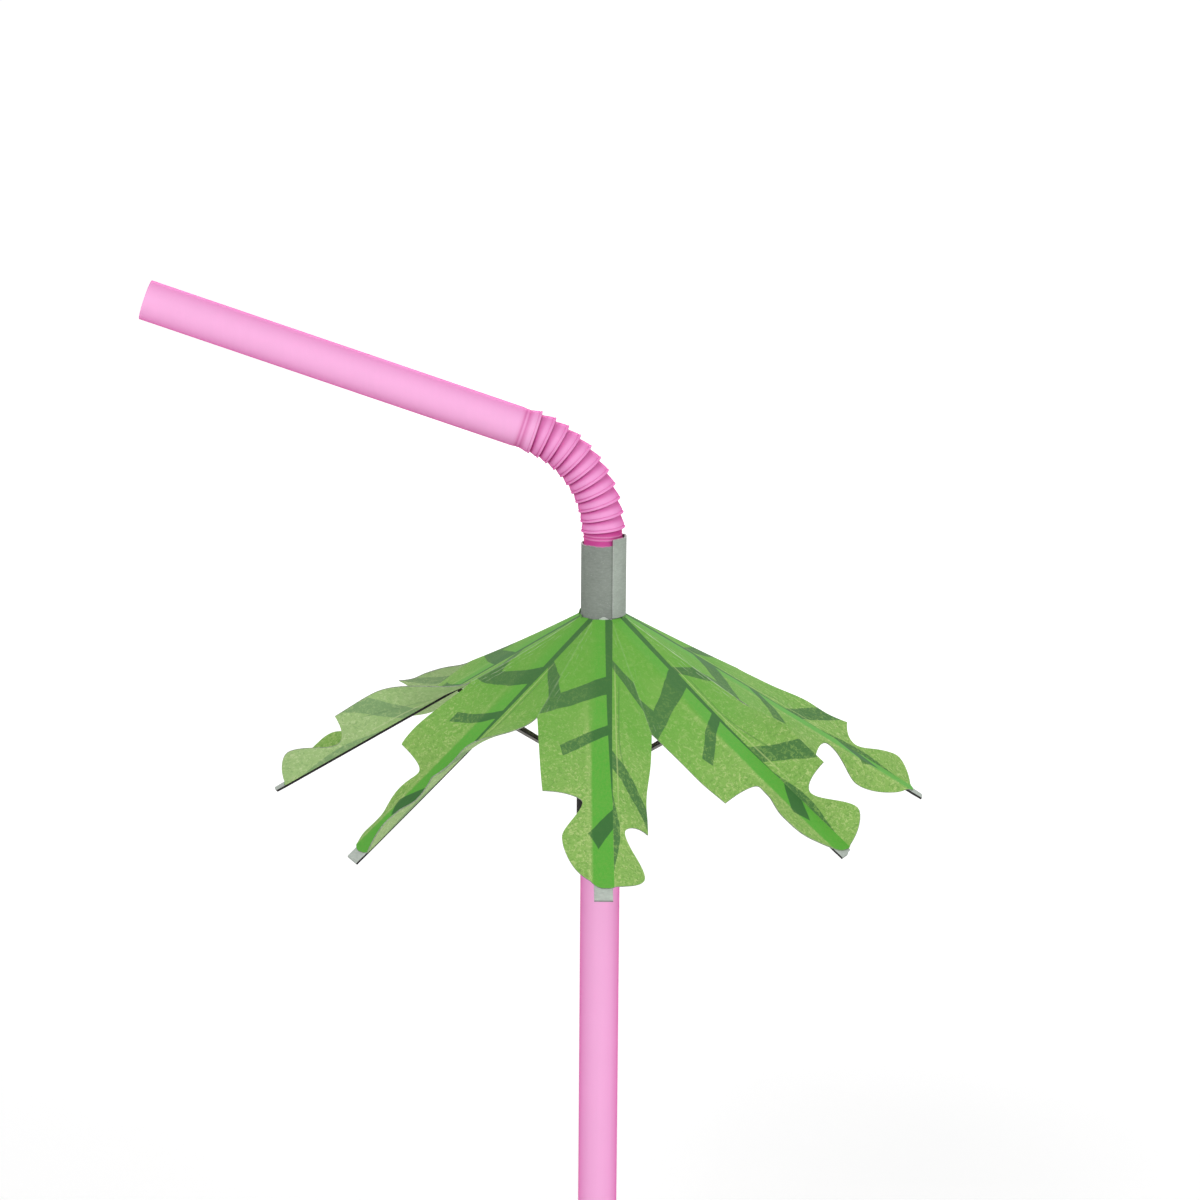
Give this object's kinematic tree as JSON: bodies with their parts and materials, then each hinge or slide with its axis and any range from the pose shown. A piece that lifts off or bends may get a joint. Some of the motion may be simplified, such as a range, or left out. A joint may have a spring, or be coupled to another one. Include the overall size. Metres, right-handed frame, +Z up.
{
  "type": "palm tree straw",
  "caption": "Flexible drinking straw with a bellows bend, carrying a folding paper parasol cut and printed as palm leaves on card ribs, stretchers and a sliding runner.",
  "frame": {"origin": "centre of the straw's lower open end", "axes": "+Z up the straw's axis; the bent mouthpiece leans towards -X; leaf 1 points at -Y"},
  "size_m": [0.1175, 0.0986, 0.1971],
  "materials": {
    "straw_plastic": "satin",
    "sleeve_card": "matte",
    "runner_card": "matte",
    "rib_card": "matte",
    "stretcher_card": "matte",
    "glued_paper": "matte",
    "leaf_paper": "matte"
  },
  "bodies": {
    "straw": {"straw_tube": "straw_plastic", "crown_sleeve": "sleeve_card"},
    "bellows_1": {"bellows_ring_1": "straw_plastic"},
    "bellows_2": {"bellows_ring_2": "straw_plastic"},
    "bellows_3": {"bellows_ring_3": "straw_plastic"},
    "bellows_4": {"bellows_ring_4": "straw_plastic"},
    "bellows_5": {"bellows_ring_5": "straw_plastic"},
    "bellows_6": {"bellows_ring_6": "straw_plastic"},
    "bellows_7": {"bellows_ring_7": "straw_plastic"},
    "bellows_8": {"bellows_ring_8": "straw_plastic"},
    "bellows_9": {"bellows_ring_9": "straw_plastic"},
    "bellows_10": {"bellows_ring_10": "straw_plastic"},
    "mouthpiece": {"mouthpiece_tube": "straw_plastic"},
    "runner": {"runner_sleeve": "runner_card"},
    "rib_arm_1": {"rib_1": "rib_card", "leaf_spine_1": "glued_paper"},
    "rib_arm_2": {"rib_2": "rib_card", "leaf_spine_2": "glued_paper"},
    "rib_arm_3": {"rib_3": "rib_card", "leaf_spine_3": "glued_paper"},
    "rib_arm_4": {"rib_4": "rib_card", "leaf_spine_4": "glued_paper"},
    "rib_arm_5": {"rib_5": "rib_card", "leaf_spine_5": "glued_paper"},
    "rib_arm_6": {"rib_6": "rib_card", "leaf_spine_6": "glued_paper"},
    "rib_arm_7": {"rib_7": "rib_card", "leaf_spine_7": "glued_paper"},
    "rib_arm_8": {"rib_8": "rib_card", "leaf_spine_8": "glued_paper"},
    "stretcher_arm_1": {"stretcher_1": "stretcher_card"},
    "stretcher_arm_2": {"stretcher_2": "stretcher_card"},
    "stretcher_arm_3": {"stretcher_3": "stretcher_card"},
    "stretcher_arm_4": {"stretcher_4": "stretcher_card"},
    "stretcher_arm_5": {"stretcher_5": "stretcher_card"},
    "stretcher_arm_6": {"stretcher_6": "stretcher_card"},
    "stretcher_arm_7": {"stretcher_7": "stretcher_card"},
    "stretcher_arm_8": {"stretcher_8": "stretcher_card"},
    "left_half_1": {"leaf_left_1": "leaf_paper"},
    "right_half_1": {"leaf_right_1": "leaf_paper"},
    "left_half_2": {"leaf_left_2": "leaf_paper"},
    "right_half_2": {"leaf_right_2": "leaf_paper"},
    "left_half_3": {"leaf_left_3": "leaf_paper"},
    "right_half_3": {"leaf_right_3": "leaf_paper"},
    "left_half_4": {"leaf_left_4": "leaf_paper"},
    "right_half_4": {"leaf_right_4": "leaf_paper"},
    "left_half_5": {"leaf_left_5": "leaf_paper"},
    "right_half_5": {"leaf_right_5": "leaf_paper"},
    "left_half_6": {"leaf_left_6": "leaf_paper"},
    "right_half_6": {"leaf_right_6": "leaf_paper"},
    "left_half_7": {"leaf_left_7": "leaf_paper"},
    "right_half_7": {"leaf_right_7": "leaf_paper"},
    "left_half_8": {"leaf_left_8": "leaf_paper"},
    "right_half_8": {"leaf_right_8": "leaf_paper"}
  },
  "joints": [
    {"name": "bellows_fold_1", "type": "hinge", "parent": "straw", "child": "bellows_1", "pos_m": [0, 0, 0.16075], "axis": [0, -1, 0], "range_deg": [-15.99, 3.01]},
    {"name": "bellows_fold_2", "type": "hinge", "parent": "bellows_1", "child": "bellows_2", "pos_m": [-0.00021, 0, 0.1626], "axis": [0, -1, 0], "range_deg": [-15.99, 3.01]},
    {"name": "bellows_fold_3", "type": "hinge", "parent": "bellows_2", "child": "bellows_3", "pos_m": [-0.00063, 0, 0.16441], "axis": [0, -1, 0], "range_deg": [-15.99, 3.01]},
    {"name": "bellows_fold_4", "type": "hinge", "parent": "bellows_3", "child": "bellows_4", "pos_m": [-0.00125, 0, 0.16616], "axis": [0, -1, 0], "range_deg": [-15.99, 3.01]},
    {"name": "bellows_fold_5", "type": "hinge", "parent": "bellows_4", "child": "bellows_5", "pos_m": [-0.00206, 0, 0.16784], "axis": [0, -1, 0], "range_deg": [-15.99, 3.01]},
    {"name": "bellows_fold_6", "type": "hinge", "parent": "bellows_5", "child": "bellows_6", "pos_m": [-0.00306, 0, 0.16941], "axis": [0, -1, 0], "range_deg": [-15.99, 3.01]},
    {"name": "bellows_fold_7", "type": "hinge", "parent": "bellows_6", "child": "bellows_7", "pos_m": [-0.00423, 0, 0.17085], "axis": [0, -1, 0], "range_deg": [-15.99, 3.01]},
    {"name": "bellows_fold_8", "type": "hinge", "parent": "bellows_7", "child": "bellows_8", "pos_m": [-0.00555, 0, 0.17216], "axis": [0, -1, 0], "range_deg": [-15.99, 3.01]},
    {"name": "bellows_fold_9", "type": "hinge", "parent": "bellows_8", "child": "bellows_9", "pos_m": [-0.00702, 0, 0.1733], "axis": [0, -1, 0], "range_deg": [-15.99, 3.01]},
    {"name": "bellows_fold_10", "type": "hinge", "parent": "bellows_9", "child": "bellows_10", "pos_m": [-0.0086, 0, 0.17428], "axis": [0, -1, 0], "range_deg": [-15.99, 3.01]},
    {"name": "bellows_fold_11", "type": "hinge", "parent": "bellows_10", "child": "mouthpiece", "pos_m": [-0.01029, 0, 0.17507], "axis": [0, -1, 0], "range_deg": [-15.99, 3.01]},
    {"name": "runner_slide", "type": "slide", "parent": "straw", "child": "runner", "axis": [0, 0, -1], "range_m": [0, 0.01513]},
    {"name": "rib_fold_1", "type": "hinge", "parent": "straw", "child": "rib_arm_1", "pos_m": [0, -0.0033, 0.147], "axis": [1, 0, 0], "range_deg": [0, 30.05]},
    {"name": "stretcher_fold_1", "type": "hinge", "parent": "rib_arm_1", "child": "stretcher_arm_1", "pos_m": [0, -0.0215, 0.13554], "axis": [1, 0, 0], "range_deg": [-60.05, 0]},
    {"name": "left_half_fold_1", "type": "hinge", "parent": "rib_arm_1", "child": "left_half_1", "pos_m": [-0.0015, -0.02059, 0.13694], "axis": [0, -0.8572, -0.515], "range_deg": [-30.8, 0]},
    {"name": "right_half_fold_1", "type": "hinge", "parent": "rib_arm_1", "child": "right_half_1", "pos_m": [0.0015, -0.02059, 0.13694], "axis": [0, 0.8572, 0.515], "range_deg": [0, 66.27]},
    {"name": "rib_fold_2", "type": "hinge", "parent": "straw", "child": "rib_arm_2", "pos_m": [0.00233, -0.00233, 0.147], "axis": [0.7071, 0.7071, 0], "range_deg": [0, 30.05]},
    {"name": "stretcher_fold_2", "type": "hinge", "parent": "rib_arm_2", "child": "stretcher_arm_2", "pos_m": [0.0152, -0.0152, 0.13554], "axis": [0.7071, 0.7071, 0], "range_deg": [-60.05, 0]},
    {"name": "left_half_fold_2", "type": "hinge", "parent": "rib_arm_2", "child": "left_half_2", "pos_m": [0.0135, -0.01562, 0.13694], "axis": [0.6061, -0.6061, -0.515], "range_deg": [0, 46.54]},
    {"name": "right_half_fold_2", "type": "hinge", "parent": "rib_arm_2", "child": "right_half_2", "pos_m": [0.01562, -0.0135, 0.13694], "axis": [-0.6061, 0.6061, 0.515], "range_deg": [-50.53, 0]},
    {"name": "rib_fold_3", "type": "hinge", "parent": "straw", "child": "rib_arm_3", "pos_m": [0.0033, 0, 0.147], "axis": [0, 1, 0], "range_deg": [0, 30.05]},
    {"name": "stretcher_fold_3", "type": "hinge", "parent": "rib_arm_3", "child": "stretcher_arm_3", "pos_m": [0.0215, 0, 0.13554], "axis": [0, 1, 0], "range_deg": [-60.05, 0]},
    {"name": "left_half_fold_3", "type": "hinge", "parent": "rib_arm_3", "child": "left_half_3", "pos_m": [0.02059, -0.0015, 0.13694], "axis": [0.8572, 0, -0.515], "range_deg": [-30.8, 0]},
    {"name": "right_half_fold_3", "type": "hinge", "parent": "rib_arm_3", "child": "right_half_3", "pos_m": [0.02059, 0.0015, 0.13694], "axis": [-0.8572, 0, 0.515], "range_deg": [-50.53, 0]},
    {"name": "rib_fold_4", "type": "hinge", "parent": "straw", "child": "rib_arm_4", "pos_m": [0.00233, 0.00233, 0.147], "axis": [-0.7071, 0.7071, 0], "range_deg": [0, 30.05]},
    {"name": "stretcher_fold_4", "type": "hinge", "parent": "rib_arm_4", "child": "stretcher_arm_4", "pos_m": [0.0152, 0.0152, 0.13554], "axis": [-0.7071, 0.7071, 0], "range_deg": [-60.05, 0]},
    {"name": "left_half_fold_4", "type": "hinge", "parent": "rib_arm_4", "child": "left_half_4", "pos_m": [0.01562, 0.0135, 0.13694], "axis": [0.6061, 0.6061, -0.515], "range_deg": [-30.8, 0]},
    {"name": "right_half_fold_4", "type": "hinge", "parent": "rib_arm_4", "child": "right_half_4", "pos_m": [0.0135, 0.01562, 0.13694], "axis": [-0.6061, -0.6061, 0.515], "range_deg": [0, 66.27]},
    {"name": "rib_fold_5", "type": "hinge", "parent": "straw", "child": "rib_arm_5", "pos_m": [0, 0.0033, 0.147], "axis": [-1, 0, 0], "range_deg": [0, 30.05]},
    {"name": "stretcher_fold_5", "type": "hinge", "parent": "rib_arm_5", "child": "stretcher_arm_5", "pos_m": [0, 0.0215, 0.13554], "axis": [-1, 0, 0], "range_deg": [-60.05, 0]},
    {"name": "left_half_fold_5", "type": "hinge", "parent": "rib_arm_5", "child": "left_half_5", "pos_m": [0.0015, 0.02059, 0.13694], "axis": [0, 0.8572, -0.515], "range_deg": [0, 46.54]},
    {"name": "right_half_fold_5", "type": "hinge", "parent": "rib_arm_5", "child": "right_half_5", "pos_m": [-0.0015, 0.02059, 0.13694], "axis": [0, -0.8572, 0.515], "range_deg": [-50.53, 0]},
    {"name": "rib_fold_6", "type": "hinge", "parent": "straw", "child": "rib_arm_6", "pos_m": [-0.00233, 0.00233, 0.147], "axis": [-0.7071, -0.7071, 0], "range_deg": [0, 30.05]},
    {"name": "stretcher_fold_6", "type": "hinge", "parent": "rib_arm_6", "child": "stretcher_arm_6", "pos_m": [-0.0152, 0.0152, 0.13554], "axis": [-0.7071, -0.7071, 0], "range_deg": [-60.05, 0]},
    {"name": "left_half_fold_6", "type": "hinge", "parent": "rib_arm_6", "child": "left_half_6", "pos_m": [-0.0135, 0.01562, 0.13694], "axis": [-0.6061, 0.6061, -0.515], "range_deg": [-30.8, 0]},
    {"name": "right_half_fold_6", "type": "hinge", "parent": "rib_arm_6", "child": "right_half_6", "pos_m": [-0.01562, 0.0135, 0.13694], "axis": [0.6061, -0.6061, 0.515], "range_deg": [-50.53, 0]},
    {"name": "rib_fold_7", "type": "hinge", "parent": "straw", "child": "rib_arm_7", "pos_m": [-0.0033, 0, 0.147], "axis": [0, -1, 0], "range_deg": [0, 30.05]},
    {"name": "stretcher_fold_7", "type": "hinge", "parent": "rib_arm_7", "child": "stretcher_arm_7", "pos_m": [-0.0215, 0, 0.13554], "axis": [0, -1, 0], "range_deg": [-60.05, 0]},
    {"name": "left_half_fold_7", "type": "hinge", "parent": "rib_arm_7", "child": "left_half_7", "pos_m": [-0.02059, 0.0015, 0.13694], "axis": [-0.8572, 0, -0.515], "range_deg": [-30.8, 0]},
    {"name": "right_half_fold_7", "type": "hinge", "parent": "rib_arm_7", "child": "right_half_7", "pos_m": [-0.02059, -0.0015, 0.13694], "axis": [0.8572, 0, 0.515], "range_deg": [-50.53, 0]},
    {"name": "rib_fold_8", "type": "hinge", "parent": "straw", "child": "rib_arm_8", "pos_m": [-0.00233, -0.00233, 0.147], "axis": [0.7071, -0.7071, 0], "range_deg": [0, 30.05]},
    {"name": "stretcher_fold_8", "type": "hinge", "parent": "rib_arm_8", "child": "stretcher_arm_8", "pos_m": [-0.0152, -0.0152, 0.13554], "axis": [0.7071, -0.7071, 0], "range_deg": [-60.05, 0]},
    {"name": "left_half_fold_8", "type": "hinge", "parent": "rib_arm_8", "child": "left_half_8", "pos_m": [-0.01562, -0.0135, 0.13694], "axis": [-0.6061, -0.6061, -0.515], "range_deg": [-30.8, 0]},
    {"name": "right_half_fold_8", "type": "hinge", "parent": "rib_arm_8", "child": "right_half_8", "pos_m": [-0.0135, -0.01562, 0.13694], "axis": [0.6061, 0.6061, 0.515], "range_deg": [-50.53, 0]}
  ],
  "couplings": [
    {"joint": "rib_fold_1", "follows": "runner_slide", "rad_per_m": 34.614},
    {"joint": "stretcher_fold_1", "follows": "runner_slide", "rad_per_m": -69.228},
    {"joint": "left_half_fold_1", "follows": "runner_slide", "rad_per_m": -35.473},
    {"joint": "right_half_fold_1", "follows": "runner_slide", "rad_per_m": 76.406},
    {"joint": "rib_fold_2", "follows": "runner_slide", "rad_per_m": 34.614},
    {"joint": "stretcher_fold_2", "follows": "runner_slide", "rad_per_m": -69.228},
    {"joint": "left_half_fold_2", "follows": "runner_slide", "rad_per_m": 53.638},
    {"joint": "right_half_fold_2", "follows": "runner_slide", "rad_per_m": -58.242},
    {"joint": "rib_fold_3", "follows": "runner_slide", "rad_per_m": 34.614},
    {"joint": "stretcher_fold_3", "follows": "runner_slide", "rad_per_m": -69.228},
    {"joint": "left_half_fold_3", "follows": "runner_slide", "rad_per_m": -35.473},
    {"joint": "right_half_fold_3", "follows": "runner_slide", "rad_per_m": -58.242},
    {"joint": "rib_fold_4", "follows": "runner_slide", "rad_per_m": 34.614},
    {"joint": "stretcher_fold_4", "follows": "runner_slide", "rad_per_m": -69.228},
    {"joint": "left_half_fold_4", "follows": "runner_slide", "rad_per_m": -35.473},
    {"joint": "right_half_fold_4", "follows": "runner_slide", "rad_per_m": 76.406},
    {"joint": "rib_fold_5", "follows": "runner_slide", "rad_per_m": 34.614},
    {"joint": "stretcher_fold_5", "follows": "runner_slide", "rad_per_m": -69.228},
    {"joint": "left_half_fold_5", "follows": "runner_slide", "rad_per_m": 53.638},
    {"joint": "right_half_fold_5", "follows": "runner_slide", "rad_per_m": -58.242},
    {"joint": "rib_fold_6", "follows": "runner_slide", "rad_per_m": 34.614},
    {"joint": "stretcher_fold_6", "follows": "runner_slide", "rad_per_m": -69.228},
    {"joint": "left_half_fold_6", "follows": "runner_slide", "rad_per_m": -35.473},
    {"joint": "right_half_fold_6", "follows": "runner_slide", "rad_per_m": -58.242},
    {"joint": "rib_fold_7", "follows": "runner_slide", "rad_per_m": 34.614},
    {"joint": "stretcher_fold_7", "follows": "runner_slide", "rad_per_m": -69.228},
    {"joint": "left_half_fold_7", "follows": "runner_slide", "rad_per_m": -35.473},
    {"joint": "right_half_fold_7", "follows": "runner_slide", "rad_per_m": -58.242},
    {"joint": "rib_fold_8", "follows": "runner_slide", "rad_per_m": 34.614},
    {"joint": "stretcher_fold_8", "follows": "runner_slide", "rad_per_m": -69.228},
    {"joint": "left_half_fold_8", "follows": "runner_slide", "rad_per_m": -35.473},
    {"joint": "right_half_fold_8", "follows": "runner_slide", "rad_per_m": -58.242}
  ]
}
